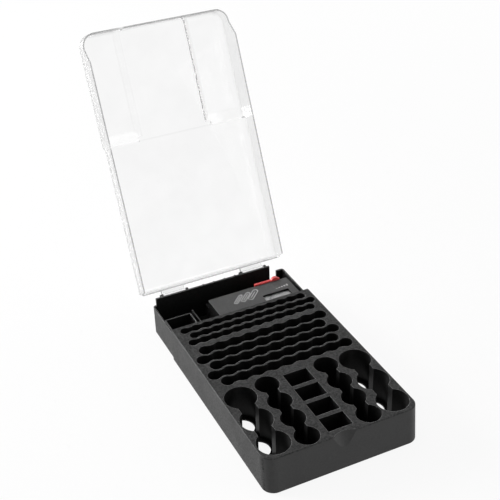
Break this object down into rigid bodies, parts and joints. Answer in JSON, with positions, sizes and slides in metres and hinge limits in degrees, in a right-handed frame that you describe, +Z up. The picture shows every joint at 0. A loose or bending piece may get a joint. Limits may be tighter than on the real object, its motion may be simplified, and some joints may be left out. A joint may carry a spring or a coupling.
{
  "type": "battery storage case",
  "caption": "Black pocketed tray for loose batteries with a clear hinged lid, shown open, and a lift-out tester with a gauge and a red slide arm.",
  "frame": {"origin": "centre of the tray's flat underside", "axes": "+Z up, +Y from the front towards the lid's hinge, +X to the right seen from the front"},
  "size_m": [0.1844, 0.4789, 0.3238],
  "materials": {
    "black_abs": "fine moulded grain",
    "clear_styrene": "clear gloss",
    "grey_abs": "fine moulded grain",
    "clear_window": "clear gloss",
    "red_abs": "satin",
    "dial_card": "printed card",
    "black_needle": "painted",
    "steel": "drawn",
    "ferrite": "sintered",
    "enamelled_copper": "wound",
    "brass": "stamped",
    "board_laminate": "paper laminate",
    "resistor_lacquer": "lacquered"
  },
  "bodies": {
    "tray": {"tray_d_bank_left": "black_abs", "tray_d_bank_right": "black_abs", "tray_c_and_square_bank": "black_abs", "tray_aa_bank": "black_abs", "tray_aaa_bank": "black_abs", "tray_tester_bay": "black_abs", "coin_cell_cup": "black_abs", "hinge_pins": "steel"},
    "lid": {"lid": "clear_styrene"},
    "tester": {"tester_front_case": "grey_abs", "tester_rear_case": "grey_abs", "tester_screws": "steel", "gauge_window": "clear_window", "gauge_dial": "dial_card", "gauge_magnet": "ferrite", "gauge_yoke": "steel", "gauge_bridge": "brass", "circuit_board": "board_laminate", "load_resistors": "resistor_lacquer", "contact_rail": "brass", "fixed_contact": "brass", "square_battery_contacts": "brass"},
    "arm": {"slide_arm": "red_abs", "slide_contact": "brass"},
    "needle": {"gauge_needle": "black_needle", "needle_shaft": "steel", "moving_coil": "enamelled_copper"}
  },
  "joints": [
    {"name": "lid_hinge", "type": "hinge", "parent": "tray", "child": "lid", "pos_m": [0, 0.1643, 0.0353], "axis": [1, 0, 0], "range_deg": [0, 114.7]},
    {"name": "tester_lift", "type": "slide", "parent": "tray", "child": "tester", "axis": [0, 0, 1], "range_m": [0, 0.008]},
    {"name": "arm_slide", "type": "slide", "parent": "tester", "child": "arm", "axis": [-1, 0, 0], "range_m": [0, 0.022]},
    {"name": "needle_turn", "type": "hinge", "parent": "tester", "child": "needle", "pos_m": [0.052, 0.112, 0.0365], "axis": [0, 0, 1], "range_deg": [0, 80], "stiffness_Nm_per_rad": 0.00001}
  ]
}
